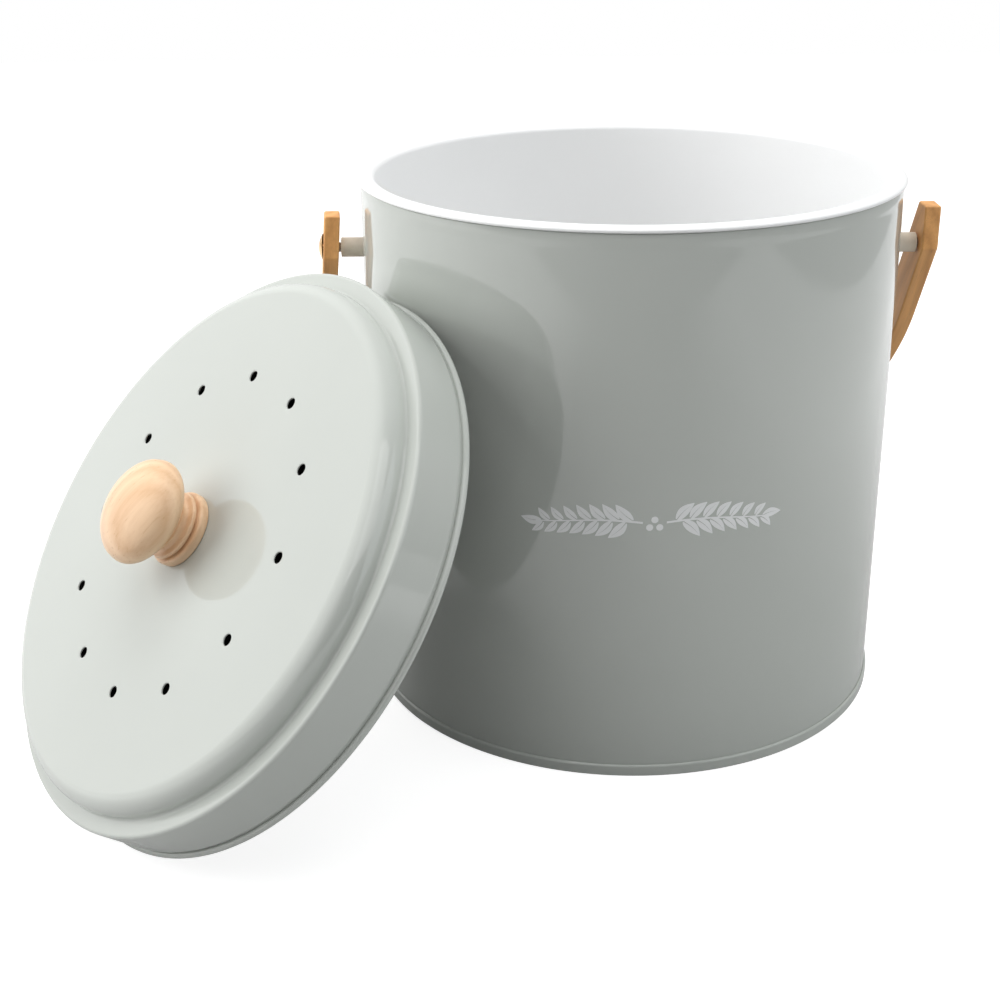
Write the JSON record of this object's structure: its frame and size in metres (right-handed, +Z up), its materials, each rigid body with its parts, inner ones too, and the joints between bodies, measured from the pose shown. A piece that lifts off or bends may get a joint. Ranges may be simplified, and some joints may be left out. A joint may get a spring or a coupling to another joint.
{
  "type": "compost caddy with lift-off lid",
  "caption": "Round steel bucket with a plastic liner, bent wood bail and a loose vented lid with turned knob and charcoal filter, leaning on its side.",
  "frame": {"origin": "centre of the bucket's foot circle, on the floor", "axes": "+Z up along the bucket's axis; the bail's pins lie on X; the plain front of the bucket faces -Y and the bail hangs back towards +Y"},
  "size_m": [0.3809, 0.3442, 0.2226],
  "materials": {
    "sage_paint": "glossy enamel",
    "white_plastic": "smooth satin",
    "oiled_wood": "oiled, fine straight grain",
    "pale_wood": "clear lacquer",
    "beige_paint": "satin",
    "brass": "polished",
    "zinc": "zinc plated",
    "grey_plastic": "moulded",
    "charcoal": "carbon felt"
  },
  "bodies": {
    "bucket": {"bucket_wall": "sage_paint", "bucket_base": "sage_paint", "spacer_left": "beige_paint", "spacer_right": "beige_paint", "screw_left": "brass", "screw_right": "brass", "washer_left": "zinc", "washer_right": "zinc", "nut_left": "zinc", "nut_right": "zinc"},
    "liner": {"liner": "white_plastic"},
    "bail": {"bail": "oiled_wood"},
    "lid": {"lid_shell": "sage_paint", "lid_knob": "pale_wood", "knob_screw": "zinc", "knob_washer": "zinc", "filter_hooks": "zinc"},
    "filter_cage": {"filter_cage": "grey_plastic", "filter_pad": "charcoal"}
  },
  "joints": [
    {"name": "bail_swing", "type": "hinge", "parent": "bucket", "child": "bail", "pos_m": [0, 0, 0.1901], "axis": [1, 0, 0], "range_deg": [0, 200]},
    {"name": "liner_lift", "type": "slide", "parent": "bucket", "child": "liner", "axis": [0, 0, 1], "range_m": [0, 0.24]},
    {"name": "lid_pull", "type": "slide", "parent": "bucket", "child": "lid", "axis": [-0.656, -0.4424, 0.6115], "range_m": [0, 0.15]},
    {"name": "cage_twist", "type": "hinge", "parent": "lid", "child": "filter_cage", "pos_m": [-0.1634, -0.11021, 0.10295], "axis": [-0.656, -0.4424, 0.6115], "range_deg": [0, 24]}
  ]
}
